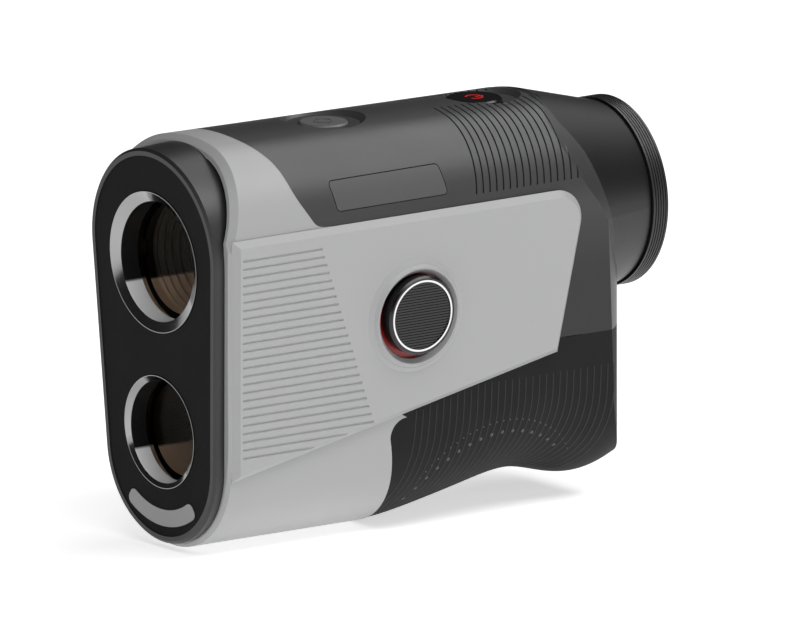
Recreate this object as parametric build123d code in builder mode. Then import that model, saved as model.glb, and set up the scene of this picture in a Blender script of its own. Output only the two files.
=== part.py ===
"""Handheld laser rangefinder: a monocular with a laser emitter under its objective.

+X is the right-hand side, +Y runs from the objective to the eyepiece, +Z is up.
The origin is on the optical axis, at the mouth of the objective's cylindrical bore.
Stations are distances back from the bezel face; gaps are distances forward from the
eyecup rim, so the front and the rear keep their own sizes when the length changes.
"""
from build123d import *
import math
import os

os.makedirs("parts", exist_ok=True)

# ---------------------------------------------------------------- case (mm)
LENGTH = 104.0              # bezel face to eyecup rim, on the optical axis
HALF_WIDTH = 20.3           # case half width at the height of the optical axis
TOP_HEIGHT = 22.6           # optical axis up to the crown, at the front
BELLY_DEPTH = 53.4          # optical axis down to the underside, at the front
SIDE_TAPER = 0.06           # each side leans in this much per mm downwards
FACE_LEAN = 0.043           # the front face leans back this much per mm downwards
CROWN_FALL = 0.0155         # the crown drops this much per mm towards the eyepiece
CROWN_RADIUS = 36.0
SHOULDER_RADIUS = 16.5
WALL = 1.8
SEAM = 0.15                 # gap around a piece that drops into a case part
RUNNING = 0.05              # radial clearance of a piece that turns or slides in its bore
FREE = 0.3                  # gap between pieces that move past each other
BELLY_RISES = [(66.0, 0.0), (63.0, 0.05), (51.0, 1.5), (43.0, 3.1), (35.0, 4.8),
               (27.5, 5.5), (20.0, 4.2), (12.0, 3.0), (0.0, 2.8)]   # (gap, rise of the underside)
GRIP_GAP = 63.7             # front edge of the dark grip
GRIP_CORNER = 3.6
GRIP_CORNER_DROP = 10.4     # that corner below the joint of upper case and grip
GRIP_LEAN = 0.17            # the grip's front edge leans back this much per mm downwards
CASE_SPLIT = -21.0          # height of the joint between upper case and grip
COVER_STATIONS = [(12.6, 24.0), (14.4, 22.3), (16.6, 19.0), (18.3, 13.2), (20.8, 8.9)]  # (station, height)
COVER_FRONT = 25.0          # where that edge has run into the side panel's top

# ---------------------------------------------------------------- front
BEZEL_STEP = 1.5            # the bezel stands this far inside the case
BEZEL_FOOT = 0.8
BEZEL_LIP = 1.35
BEZEL_CHAMFER = 0.5
BEZEL_DEPTH = 8.0
HOUSING_SIDE_STATION = 2.2  # front edge of the silver housing beside the lenses
HOUSING_TOP_STATION = 7.4   # and over the top
HOUSING_KNEE = 6.5          # height where that edge starts to slope back
HOUSING_BEVEL = 1.1         # over the top
HOUSING_FOOT_BEVEL = 0.55   # round the bottom
PANEL_SINK = 0.15
PANEL_THICK = 2.2
BORE_EDGE = 0.3
RING_LIP = 2.0              # radial width of the polished cone around the objective
RING_CONE = 1.0             # its depth
OBJECTIVE_BORE = 11.1       # radius
OBJECTIVE_DEPTH = 3.8       # bore mouth to lens
AXIS_SPACING = 31.8         # objective axis down to the emitter axis
EMITTER_BORE = 9.5
EMITTER_LIP = 1.0
EMITTER_CONE = 0.7
EMITTER_DEPTH = 3.4
RING_SLEEVE = 0.6           # ring wall that enters the barrel
BARREL_WALL = 1.0
LENS_EDGE = 1.6
LENS_SAG = 1.2
BADGE_RADIUS = 16.0
BADGE_WIDTH = 3.1
BADGE_HALF_ANGLE = 36.5
BADGE_CORNER = 1.2
BADGE_THICK = 0.5           # its face is level with the bezel

# ---------------------------------------------------------------- side panels
PANEL_PROUD = 1.2
PANEL_BEVEL = 1.15
PANEL_TOP = 7.0
PANEL_STATION = 2.4
PANEL_LOW_SHIFT = 2.0       # the panel's front edge follows the lean of the face
PANEL_GAP = 20.8            # rear top corner
PANEL_LOW_GAP = 26.3        # rear bottom corner
PANEL_REAR_LOW = -23.5
PANEL_FRONT_LOW = -38.6
PANEL_TOP_CORNER = 6.0
PANEL_LOW_CORNER = 3.0
GROOVE_COUNT = 25
GROOVE_PITCH = 1.554
GROOVE_WIDTH = 0.62
GROOVE_DEPTH = 0.28
GROOVE_TOP = 3.35
GROOVE_STATION = 4.4
GROOVE_FIRST_END = 22.3
GROOVE_GROWTH = 0.6
GROOVE_EDGE = 4.9           # groove ends to the panel's sloping lower edge, along the groove

# ---------------------------------------------------------------- slope switch
KNOB_STATION = 44.0
KNOB_HEIGHT = -11.9
KNOB_RADIUS = 7.4
KNOB_PROUD = 2.3            # above the panel face
KNOB_TRAVEL = 0.8
COLLAR_HOLE = 8.1
COLLAR_CREST = 9.0
COLLAR_BASE = 10.65
COLLAR_PROUD = 1.05
KNOB_RING = 6.7             # outer radius of the bright ring in the knob's face
KNOB_RING_WIDTH = 0.35
KNOB_DISH = 0.35
KNOB_RIBS = 25
KNOB_RIB = 0.2              # width and height of a rib
STEM_RADIUS = 1.6
FLAG_THICK = 0.6
SLIDER_THICK = 1.0
SLIDER_SIZE = 5.0
SWITCH_THICK = 3.0
SWITCH_SIZE = 8.0

# ---------------------------------------------------------------- buttons on the crown
MODE_STATION = 38.7
MODE_RADIUS = 4.55
MODE_DISH = 8.4
POWER_GAP = 31.1
POWER_RADIUS = 5.1
POWER_DISH_X = 6.8
POWER_DISH_Y = 7.8
POWER_DISH_SHIFT = 2.0      # the power dish reaches further back than its button
BUTTON_TRAVEL = 0.6
BUTTON_THICK = 1.7
MODE_SINK = 0.75
POWER_SINK = 0.25
DISH_DEPTH = 1.1
BUTTON_STEM = 1.5

# ---------------------------------------------------------------- hoops and label
HOOP_COUNT = 18
HOOP_PITCH = 1.54
HOOP_WIDTH = 0.34
HOOP_DEPTH = 0.3
HOOP_GAP = 46.0             # first hoop, at the height of the panel's top
HOOP_LEAN = 0.18
HOOP_FOOT = 1.5             # hoops end this far above the side panel
LABEL_STATION = 26.3
LABEL_HOOP_GAP = 6.4
LABEL_LOW = 9.3
LABEL_HIGH = 14.8
LABEL_CORNER = 0.9
LABEL_THICK = 0.4

# ---------------------------------------------------------------- rear
TAIL_RADIUS = 24.0          # plan radius of the rounded rear
TAIL_GAP = 4.6
TAIL_CORNER = 11.0
CONE_RADIUS = 17.0          # eyepiece cone at the dioptre ring
CONE_SLOPE = 0.263
DIOPTRE_WIDTH = 3.6
DIOPTRE_RADIUS = 17.45
DIOPTRE_RIBS = 5
DIOPTRE_RIB_DEPTH = 0.18
SLEEVE_RADIUS = 12.5
SLEEVE_LENGTH = 13.0
EYE_LENS_RADIUS = 10.6
EYE_LENS_THICK = 4.2
EYE_LENS_SAG = 0.9
EYECUP_WIDTH = 2.4
EYECUP_WALL = 1.2
TUBE_WALL = 1.4
TUBE_LENGTH = 23.4
RETICLE_THICK = 1.0

# ---------------------------------------------------------------- inside
MID_GAP = 54.0              # front of the middle bulkhead
BULKHEAD_THICK = 2.5
FRONT_BULKHEAD = 11.0       # station of the front bulkhead
RING_BACK = 0.7             # ring flange, behind the front panel
LENS_LAND = 1.3             # flat rim of a lens, which its retainer or shoulder bears on
RETAINER_THICK = 1.8
NOTCH = 1.6
BAFFLE_COUNT = 7
BAFFLE_PITCH = 1.7
BAFFLE_TOOTH = 0.45
BARREL_STEP = 24.0          # station where the objective barrel starts to taper
BARREL_END_RADIUS = 10.0
EMITTER_BARREL_LENGTH = 30.0
LASER_CAN = 2.8
LASER_CAN_LENGTH = 4.0
PRISM_HALF = 8.5
PRISM_GAP = 0.3
CAGE_WALL = 1.2
CAGE_PLATE = 1.5
CAGE_HALF = 13.2
CAGE_SCREW_X = 11.5
CAGE_SCREW_Z = 8.0
CAGE_HOLE = 7.0
SENSOR_RADIUS = 2.7
SENSOR_HEIGHT = 3.2
BATTERY_RADIUS = 7.8        # a CR2 cell
BATTERY_LENGTH = 27.0
BATTERY_TIP = 3.0
BATTERY_HEIGHT = -33.0
BATTERY_WALL = 1.0
CONTACT_THICK = 0.5
CAP_RADIUS = 9.6
CAP_THICK = 2.2
CAP_BOSS = 11.6
CAP_SINK = 2.6              # cap face below the rearmost point of the case
CAP_PLUG = 7.2
CAP_PLUG_LENGTH = 2.4
COIN_SLOT = 1.6
SEAL_WIDTH = 0.9
BOARD_THICK = 1.0
BUTTON_BOARD_HEIGHT = 15.4
BUTTON_BOARD_HALF = 8.5
BOSS_RADIUS = 1.7
BOARD_SCREW_X = 6.0
TACT_HEIGHT = 0.9
TACT_SIZE = 4.5
FLANGE_THICK = 0.6
FLANGE_WIDTH = 0.9
MAIN_BOARD_X = 14.6
MAIN_BOARD_HIGH = 6.0
MAIN_BOARD_LOW = -34.0
CHIP_SIZE = 7.0
CHIP_THICK = 1.2
SCREW_RADIUS = 0.9
SCREW_HEAD = 1.5
SCREW_HEAD_THICK = 0.9
SCREW_BITE = 3.0            # thread length beyond the plate it holds

# ---------------------------------------------------------------- derived places
FACE = -RING_CONE
RIM = FACE + LENGTH
COS_TAPER = 1 / math.hypot(1, SIDE_TAPER)
SIN_TAPER = SIDE_TAPER * COS_TAPER
BEZEL_BULGE = HALF_WIDTH * COS_TAPER - BEZEL_STEP
BEZEL_CENTRE = (TOP_HEIGHT - BEZEL_STEP - BEZEL_BULGE) / (1 + SIN_TAPER)
BEZEL_RADIUS = BEZEL_BULGE + BEZEL_CENTRE * SIN_TAPER
BEZEL_LOW_CENTRE = (BEZEL_FOOT - BELLY_DEPTH + BEZEL_BULGE) / (1 - SIN_TAPER)
CONE_END = RIM - DIOPTRE_WIDTH
TAIL_CENTRE = RIM - TAIL_GAP - TAIL_RADIUS
MID_BULKHEAD = RIM - MID_GAP
EMITTER_MOUTH = FACE + FACE_LEAN * AXIS_SPACING + EMITTER_CONE
FAR = 200.0
RING_OUTER = OBJECTIVE_BORE + RING_LIP
EMITTER_OUTER = EMITTER_BORE + EMITTER_LIP
OBJECTIVE_SLEEVE = OBJECTIVE_BORE + RING_SLEEVE
EMITTER_SLEEVE = EMITTER_BORE + RING_SLEEVE
OBJECTIVE_LENS = OBJECTIVE_DEPTH
EMITTER_LENS = EMITTER_MOUTH + EMITTER_DEPTH
OBJECTIVE_BACK = FACE + PANEL_SINK + PANEL_THICK + RING_BACK
EMITTER_BACK = OBJECTIVE_BACK + FACE_LEAN * AXIS_SPACING
CAGE_FRONT = MID_BULKHEAD + BULKHEAD_THICK
PRISM_FRONT = CAGE_FRONT + CAGE_PLATE
PRISM_BACK = PRISM_FRONT + 2 * PRISM_HALF + PRISM_GAP
FRONT_WALL = FACE + FRONT_BULKHEAD
EMITTER_HEIGHT = -AXIS_SPACING

FACE_PLANE = Plane(origin=(0, FACE, 0), x_dir=(1, 0, 0), z_dir=(0, -1, -FACE_LEAN))
SIDE_PLANE = Plane(origin=(HALF_WIDTH, 0, 0), x_dir=(0, 1, 0), z_dir=(1, 0, -SIDE_TAPER))
SIDE_VIEW = Plane(origin=(0, 0, 0), x_dir=(0, 1, 0), z_dir=(1, 0, 0))


def across(y):
    """The XZ plane at y, seen from the front: sketch x is X, sketch y is Z."""
    return Plane.XZ.offset(-y)


def crown(y):
    """Height of the crown at y."""
    return TOP_HEIGHT - CROWN_FALL * (y - FACE)


def tapered(bulge, high, low):
    """Closed face: two circles whose common tangents lean in by SIDE_TAPER."""
    high_r = bulge + high * SIN_TAPER
    low_r = bulge + low * SIN_TAPER
    with BuildSketch(mode=Mode.PRIVATE) as sketch:
        with BuildLine():
            a = (high_r * COS_TAPER, high - high_r * SIN_TAPER)
            b = (low_r * COS_TAPER, low - low_r * SIN_TAPER)
            Line(a, b)
            ThreePointArc(b, (0, low - low_r), (-b[0], b[1]))
            Line((-b[0], b[1]), (-a[0], a[1]))
            ThreePointArc((-a[0], a[1]), (0, high + high_r), a)
        make_face()
    return sketch.sketch


def case_section(y, inset, belly):
    """Closed face of the case at y: crown arc, two shoulders, straight sides, round belly."""
    bulge = HALF_WIDTH * COS_TAPER - inset
    low = (belly + bulge + inset) / (1 - SIN_TAPER)
    low_r = bulge + low * SIN_TAPER
    top_r = CROWN_RADIUS - inset
    small_r = SHOULDER_RADIUS - inset
    top_centre = crown(y) - CROWN_RADIUS
    reach = top_r - small_r
    edge = (bulge - small_r) / COS_TAPER
    qa = 1 + SIDE_TAPER ** 2
    qb = 2 * (edge * SIDE_TAPER - top_centre)
    qc = edge ** 2 + top_centre ** 2 - reach ** 2
    small_z = (-qb + math.sqrt(qb ** 2 - 4 * qa * qc)) / (2 * qa)
    small_x = edge + SIDE_TAPER * small_z
    lift = top_r / reach
    join = (small_x * lift, top_centre + (small_z - top_centre) * lift)
    side = (small_x + small_r * COS_TAPER, small_z - small_r * SIN_TAPER)
    turn = math.atan2(small_z - top_centre, small_x) / 2 - math.asin(SIN_TAPER) / 2
    middle = (small_x + small_r * math.cos(turn), small_z + small_r * math.sin(turn))
    foot = (low_r * COS_TAPER, low - low_r * SIN_TAPER)
    with BuildSketch(across(y), mode=Mode.PRIVATE) as sketch:
        with BuildLine():
            ThreePointArc((-join[0], join[1]), (0, top_centre + top_r), join)
            ThreePointArc(join, middle, side)
            Line(side, foot)
            ThreePointArc(foot, (0, low - low_r), (-foot[0], foot[1]))
            Line((-foot[0], foot[1]), (-side[0], side[1]))
            ThreePointArc((-side[0], side[1]), (-middle[0], middle[1]), (-join[0], join[1]))
        make_face()
    return sketch.sketch


def straight_case(inset, start=FACE - 5):
    """The case's outside without the finger recess, moved in by inset."""
    with BuildPart(mode=Mode.PRIVATE) as solid:
        for y in (start, RIM + 5):
            add(case_section(y, inset, -BELLY_DEPTH))
        loft(ruled=True)
    return solid.part


def belly_case(inset):
    """The lower case with its finger recess, moved in by inset."""
    with BuildPart(mode=Mode.PRIVATE) as solid:
        for gap, rise in BELLY_RISES:
            add(case_section(RIM - gap, inset, rise - BELLY_DEPTH))
        loft()
    return solid.part


def tail(inset):
    """What the rear may fill: a rounded back below, the eyepiece cone above."""
    end = CONE_END - inset
    cone_r = CONE_RADIUS - inset + CONE_SLOPE * inset
    cone_start = RIM - 40
    with BuildPart(mode=Mode.PRIVATE) as solid:
        with BuildSketch(Plane.XY.offset(-80)):
            with Locations((0, TAIL_CENTRE)):
                Circle(TAIL_RADIUS - inset)
            with Locations((0, (TAIL_CENTRE + FACE - 10) / 2)):
                Rectangle(80, TAIL_CENTRE - FACE + 10)
        extrude(amount=80)
        with BuildSketch(SIDE_VIEW) as profile:
            lowest = inset + BELLY_RISES[-2][1] - BELLY_DEPTH
            with BuildLine():
                Polyline((FACE - 10, 1), (RIM - TAIL_GAP - inset, 1), (RIM - TAIL_GAP - inset, lowest),
                         (RIM - 40, lowest), (RIM - 40, -70), (FACE - 10, -70), close=True)
            make_face()
            corner = profile.vertices().group_by(Axis.X)[-1].sort_by(Axis.Z)[0]
            fillet(corner, TAIL_CORNER - inset)
        extrude(amount=40, both=True, mode=Mode.INTERSECT)
        with BuildSketch(Plane.XY):
            with Locations((0, (cone_start + FACE - 10) / 2)):
                Rectangle(80, cone_start - FACE + 10)
        extrude(amount=40)
        with BuildSketch(Plane.XY):
            with BuildLine():
                Polyline((0, cone_start - 5), (cone_r + CONE_SLOPE * (end - cone_start + 5), cone_start - 5),
                         (cone_r, end), (0, end), close=True)
            make_face()
        revolve(axis=Axis.Y)
    return solid.part


def ring(inner, outer, start, end, height=0.0):
    """A plain ring about the Y direction."""
    with BuildPart(mode=Mode.PRIVATE) as solid:
        with BuildSketch(across(start)):
            with Locations((0, height)):
                Circle(outer)
                if inner:
                    Circle(inner, mode=Mode.SUBTRACT)
        extrude(amount=start - end)
    return solid.part


def turned(points, height=0.0):
    """A solid of revolution about the Y direction, from (radius, y) points."""
    with BuildPart(mode=Mode.PRIVATE) as solid:
        with BuildSketch(Plane(origin=(0, 0, height), x_dir=(1, 0, 0), z_dir=(0, 0, 1))):
            with BuildLine():
                Polyline(*points, close=True)
            make_face()
        revolve(axis=Axis((0, 0, height), (0, 1, 0)))
    return solid.part


def prism(points, half=FAR, corners=0.0):
    """A solid extruded through the case from a side-view outline of (y, z) points."""
    with BuildPart(mode=Mode.PRIVATE) as solid:
        with BuildSketch(SIDE_VIEW) as outline:
            with BuildLine():
                Polyline(*points, close=True)
            make_face()
            if corners:
                fillet(outline.vertices(), corners)
        extrude(amount=half, both=True)
    return solid.part


def lens(radius, start, edge, front_sag, back_sag, height=0.0):
    """A lens with a cylindrical edge and a flat rim around each bulging face."""
    clear = radius - LENS_LAND
    end = start + edge
    with BuildPart(mode=Mode.PRIVATE) as solid:
        add(ring(0, radius, start, end, height))
        for sag, rim, side in ((front_sag, start, -1), (back_sag, end, 1)):
            if sag:
                bend = (clear ** 2 + sag ** 2) / (2 * sag)
                with BuildPart(mode=Mode.PRIVATE) as cap:
                    with Locations((0, rim + side * (sag - bend), height)):
                        Sphere(bend)
                    add(ring(0, clear, rim, rim + side * 2 * sag, height), mode=Mode.INTERSECT)
                add(cap.part)
    return solid.part


def block(x, y, z):
    """A box from three (low, high) pairs."""
    with BuildPart(mode=Mode.PRIVATE) as solid:
        with Locations(((x[0] + x[1]) / 2, (y[0] + y[1]) / 2, (z[0] + z[1]) / 2)):
            Box(x[1] - x[0], y[1] - y[0], z[1] - z[0])
    return solid.part


def screw(head_plane, length):
    """A slotted screw; its head stands out along the plane's normal."""
    with BuildPart(mode=Mode.PRIVATE) as solid:
        with BuildSketch(head_plane):
            Circle(SCREW_HEAD)
        extrude(amount=SCREW_HEAD_THICK)
        with BuildSketch(head_plane):
            Circle(SCREW_RADIUS)
        extrude(amount=-length)
        with BuildSketch(head_plane.offset(SCREW_HEAD_THICK)):
            Rectangle(2 * SCREW_HEAD, SCREW_HEAD / 4)
        extrude(amount=-SCREW_HEAD_THICK / 2, mode=Mode.SUBTRACT)
    return solid.part


def flare(outer, inner, mouth, height):
    """The cone between a circle on the leaning face and the bore's mouth."""
    with BuildPart(mode=Mode.PRIVATE) as solid:
        with BuildSketch(FACE_PLANE):
            with Locations((0, height * math.hypot(1, FACE_LEAN))):
                Circle(outer)
        with BuildSketch(across(mouth)):
            with Locations((0, height)):
                Circle(inner)
        loft(ruled=True)
    return solid.part


def save(builder, name):
    """Label a finished piece and write it."""
    builder.part.label = name
    export_step(builder.part, f"parts/{name}.step")


# ================================================================ case parts
outside = straight_case(0)
inside = straight_case(WALL)
grip_outside = belly_case(0)
grip_inside = belly_case(WALL)
tail_outside = tail(0)
tail_inside = tail(WALL)

# side-view outline of the silver housing
panel_rear = RIM - PANEL_GAP
grip_front = RIM - GRIP_GAP
with BuildPart(mode=Mode.PRIVATE) as housing_zone:
    with BuildSketch(SIDE_VIEW) as outline:
        with BuildLine():
            cover = [(FACE + station, height) for station, height in COVER_STATIONS]
            cover.append((FACE + COVER_FRONT, PANEL_TOP))
            Spline(*cover, tangents=[(1, -0.4), (1, 0)])
            corner_z = CASE_SPLIT - GRIP_CORNER_DROP
            corner_end = (grip_front, corner_z - GRIP_CORNER)
            Polyline(cover[-1], (cover[-1][0] + 1, PANEL_TOP - 2), (cover[-1][0] + 1, CASE_SPLIT),
                     (grip_front + GRIP_CORNER, corner_z))
            bend = GRIP_CORNER * (1 - math.sqrt(0.5))
            ThreePointArc((grip_front + GRIP_CORNER, corner_z), (grip_front + bend, corner_z - bend), corner_end)
            grip_low = (grip_front + GRIP_LEAN * (BELLY_DEPTH + corner_end[1]), -BELLY_DEPTH)
            grip_out = (2 * grip_low[0] - corner_end[0], 2 * grip_low[1] - corner_end[1])
            Polyline(corner_end, grip_out, (FACE - 5, grip_out[1]), (FACE - 5, TOP_HEIGHT + 5),
                     (cover[0][0], TOP_HEIGHT + 5), cover[0])
        make_face()
    extrude(amount=40, both=True)

with BuildPart(mode=Mode.PRIVATE) as bezel_plug:
    with BuildSketch(FACE_PLANE):
        add(tapered(BEZEL_BULGE, BEZEL_CENTRE, BEZEL_LOW_CENTRE))
    extrude(amount=-BEZEL_DEPTH)

def cut_case(height, station, lean, bevel):
    """The case behind a leaning plane through (station, height), with its front edge bevelled."""
    front = Plane(origin=(0, FACE + station, height), x_dir=(1, 0, 0), z_dir=(0, -1, lean))
    with BuildPart(mode=Mode.PRIVATE) as solid:
        add(straight_case(0, FACE - 40))
        split(bisect_by=front, keep=Keep.BOTTOM)
        chamfer(solid.faces().sort_by(Axis(front.origin, front.z_dir))[-1].outer_wire().edges(), bevel)
    return solid.part


knee_station = HOUSING_SIDE_STATION - FACE_LEAN * HOUSING_KNEE
top_lean = (HOUSING_TOP_STATION - knee_station) / (TOP_HEIGHT - HOUSING_KNEE)
with BuildPart() as front_housing:
    add(cut_case(HOUSING_KNEE, knee_station, top_lean, HOUSING_BEVEL))
    add(cut_case(HOUSING_KNEE, knee_station, -FACE_LEAN, HOUSING_FOOT_BEVEL), mode=Mode.INTERSECT)
    add(housing_zone.part, mode=Mode.INTERSECT)
    add(inside, mode=Mode.SUBTRACT)
    add(bezel_plug.part, mode=Mode.SUBTRACT)
save(front_housing, "front_housing")

with BuildPart() as front_bezel:
    with BuildSketch(FACE_PLANE):
        add(tapered(BEZEL_BULGE, BEZEL_CENTRE, BEZEL_LOW_CENTRE))
        add(tapered(BEZEL_BULGE - BEZEL_LIP, BEZEL_CENTRE, BEZEL_LOW_CENTRE), mode=Mode.SUBTRACT)
    extrude(amount=-BEZEL_DEPTH)
    front_edges = front_bezel.faces().sort_by(Axis.Y)[0].outer_wire().edges()
    chamfer(front_edges, BEZEL_CHAMFER)
save(front_bezel, "front_bezel")

# ================================================================ dark case
dish_y = FACE + MODE_STATION
power_y = RIM - POWER_GAP
power_dish_y = power_y + POWER_DISH_SHIFT


def dish(y, half_x, half_y, floor):
    """A shallow bowl with an oval rim, cut into the crown down to floor."""
    with BuildPart(mode=Mode.PRIVATE) as solid:
        with BuildSketch(Plane.XY.offset(floor)):
            with Locations((0, y)):
                Ellipse(half_x * 0.8, half_y * 0.8)
        with BuildSketch(Plane.XY.offset(floor + 2 * DISH_DEPTH)):
            with Locations((0, y)):
                Ellipse(half_x * 1.15, half_y * 1.15)
        loft()
    return solid.part


def post(x, y, z0, z1, radius):
    """A round post along Z."""
    with BuildPart(mode=Mode.PRIVATE) as solid:
        with BuildSketch(Plane.XY.offset(z0)):
            with Locations((x, y)):
                Circle(radius)
        extrude(amount=z1 - z0)
    return solid.part


hoop_region = prism([(RIM - 50, PANEL_TOP + HOOP_FOOT), (RIM - 5, PANEL_TOP + HOOP_FOOT), (RIM - 5, 30), (RIM - 50, 30)])
with BuildPart(mode=Mode.PRIVATE) as hoops:
    for i in range(HOOP_COUNT):
        y = RIM - HOOP_GAP + i * HOOP_PITCH
        add(prism([(y, PANEL_TOP), (y + HOOP_WIDTH, PANEL_TOP),
                   (y + HOOP_WIDTH + 20 * HOOP_LEAN, PANEL_TOP + 20), (y + 20 * HOOP_LEAN, PANEL_TOP + 20)], 30))
    add(hoop_region, mode=Mode.INTERSECT)
    add(straight_case(HOOP_DEPTH), mode=Mode.SUBTRACT)
    add(dish(power_dish_y, POWER_DISH_X + 1.2, POWER_DISH_Y + 1.2, 10), mode=Mode.SUBTRACT)
    with BuildSketch(Plane.XY):
        with Locations((0, RIM - 40)):
            Rectangle(8, 60)
    extrude(amount=40, mode=Mode.SUBTRACT)

label_end = RIM - HOOP_GAP - LABEL_HOOP_GAP
label_outline = [(FACE + LABEL_STATION, LABEL_HIGH), (label_end, LABEL_HIGH),
                 (label_end + 0.6, LABEL_LOW), (FACE + LABEL_STATION + 0.6, LABEL_LOW)]

cap_face = RIM - TAIL_GAP - CAP_SINK
cap_floor = cap_face - CAP_THICK - FREE
battery_back = cap_floor - CAP_PLUG_LENGTH - FREE
battery_front = battery_back - BATTERY_LENGTH
seal_front = cap_floor - CAP_PLUG_LENGTH / 2 - SEAL_WIDTH / 2
tube_front = battery_front - CONTACT_THICK - BATTERY_WALL
battery_bore = BATTERY_RADIUS + 2 * RUNNING
battery_outer = battery_bore + BATTERY_WALL
tube_bore = SLEEVE_RADIUS + RUNNING
tube_outer = tube_bore + TUBE_WALL
board_top = BUTTON_BOARD_HEIGHT + BOARD_THICK
board_front = dish_y - MODE_DISH - 3 * BOSS_RADIUS
board_rear = power_y + POWER_RADIUS
board_screw_y = (dish_y - MODE_DISH, power_y - POWER_DISH_Y)
board_screw_places = [(x, y) for x in (-BOARD_SCREW_X, BOARD_SCREW_X) for y in board_screw_y]


def label_zone(gap):
    """The prism that bounds the label, gap mm inside its pocket."""
    with BuildPart(mode=Mode.PRIVATE) as solid:
        with BuildSketch(SIDE_VIEW) as outline:
            with BuildLine():
                Polyline(*label_outline, close=True)
            make_face()
            fillet(outline.vertices(), LABEL_CORNER)
            if gap:
                offset(amount=-gap, mode=Mode.REPLACE)
        extrude(amount=40)
    return solid.part


with BuildPart(mode=Mode.PRIVATE) as label_pocket:
    add(label_zone(0))
    add(straight_case(LABEL_THICK), mode=Mode.SUBTRACT)

with BuildPart(mode=Mode.PRIVATE) as upper_cavity:
    add(inside)
    add(tail_inside, mode=Mode.INTERSECT)

with BuildPart(mode=Mode.PRIVATE) as grip_cavity:
    add(grip_inside)
    add(tail_inside, mode=Mode.INTERSECT)
    add(ring(0, CAP_BOSS, cap_floor - 2 * WALL, RIM, BATTERY_HEIGHT), mode=Mode.SUBTRACT)


def side_spot(y, z):
    """A plane on the right side of the case, centred at (y, z), facing outwards."""
    centre = SIDE_PLANE.from_local_coords((y, z / COS_TAPER, 0))
    return Plane(origin=centre, x_dir=(0, 1, 0), z_dir=SIDE_PLANE.z_dir)


knob_seat = side_spot(FACE + KNOB_STATION, KNOB_HEIGHT)


def stem_slot():
    """The slot that lets the knob's stem slide through the flag and the case wall."""
    with BuildPart(mode=Mode.PRIVATE) as solid:
        with BuildSketch(knob_seat.offset(PANEL_PROUD)):
            SlotCenterToCenter(KNOB_TRAVEL, 2 * (STEM_RADIUS + FREE), rotation=90)
        extrude(amount=-2 * WALL - PANEL_PROUD)
    return solid.part


with BuildPart() as upper_case:
    add(outside)
    add(tail_outside, mode=Mode.INTERSECT)
    add(upper_cavity.part, mode=Mode.SUBTRACT)
    add(housing_zone.part, mode=Mode.SUBTRACT)
    add(block((-FAR, FAR), (-FAR, FAR), (-FAR, CASE_SPLIT)), mode=Mode.SUBTRACT)
    add(block((-FAR, FAR), (-FAR, FACE + FRONT_BULKHEAD), (-FAR, FAR)), mode=Mode.SUBTRACT)
    add(hoops.part, mode=Mode.SUBTRACT)
    add(dish(dish_y, MODE_DISH, MODE_DISH, crown(dish_y) - DISH_DEPTH), mode=Mode.SUBTRACT)
    add(dish(power_dish_y, POWER_DISH_X, POWER_DISH_Y, crown(power_y) - DISH_DEPTH), mode=Mode.SUBTRACT)
    add(post(0, dish_y, board_top, TOP_HEIGHT, MODE_RADIUS + SEAM), mode=Mode.SUBTRACT)
    add(post(0, power_y, board_top, TOP_HEIGHT, POWER_RADIUS + SEAM), mode=Mode.SUBTRACT)
    for x, y in board_screw_places:
        add(post(x, y, board_top, crown(y) - WALL, BOSS_RADIUS))
        add(post(x, y, board_top, board_top + SCREW_BITE, SCREW_RADIUS), mode=Mode.SUBTRACT)
    add(label_pocket.part, mode=Mode.SUBTRACT)
    add(ring(0, CONE_RADIUS - SEAM, CONE_END - 2 * WALL, CONE_END))
    add(ring(0, tube_outer, CONE_END - TUBE_LENGTH, CONE_END), mode=Mode.SUBTRACT)
    add(stem_slot(), mode=Mode.SUBTRACT)
save(upper_case, "upper_case")

with BuildPart() as label_plate:
    add(straight_case(0))
    add(straight_case(LABEL_THICK), mode=Mode.SUBTRACT)
    add(label_zone(SEAM), mode=Mode.INTERSECT)
save(label_plate, "label_plate")

with BuildPart() as lower_grip:
    add(grip_outside)
    add(tail_outside, mode=Mode.INTERSECT)
    add(grip_cavity.part, mode=Mode.SUBTRACT)
    add(housing_zone.part, mode=Mode.SUBTRACT)
    add(block((-FAR, FAR), (-FAR, FAR), (CASE_SPLIT, FAR)), mode=Mode.SUBTRACT)
    add(block((-FAR, FAR), (-FAR, grip_front), (-FAR, FAR)), mode=Mode.SUBTRACT)
    add(ring(0, battery_outer, tube_front, cap_floor, BATTERY_HEIGHT), mode=Mode.SUBTRACT)
    add(ring(0, CAP_RADIUS + SEAM, cap_floor, RIM, BATTERY_HEIGHT), mode=Mode.SUBTRACT)
save(lower_grip, "lower_grip")

# ================================================================ side panels
panel_front = FACE + PANEL_STATION
panel_rear_low = RIM - PANEL_LOW_GAP
panel_outline = [(panel_front, PANEL_TOP), (RIM - PANEL_GAP, PANEL_TOP),
                 (panel_rear_low, PANEL_REAR_LOW), (panel_front + PANEL_LOW_SHIFT, PANEL_FRONT_LOW)]
low_edge_rise = (PANEL_REAR_LOW - PANEL_FRONT_LOW) / (panel_rear_low - panel_front - PANEL_LOW_SHIFT)
bevel_angle = math.degrees(math.atan(PANEL_BEVEL / PANEL_PROUD))


def groove_ends(index):
    """Where one groove of the side panel starts and stops, and its height."""
    z = GROOVE_TOP - index * GROOVE_PITCH
    start = FACE + GROOVE_STATION - FACE_LEAN * z
    edge = panel_front + PANEL_LOW_SHIFT + (z - PANEL_FRONT_LOW) / low_edge_rise
    return start, min(FACE + GROOVE_FIRST_END + index * GROOVE_GROWTH, edge - GROOVE_EDGE), z


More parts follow.
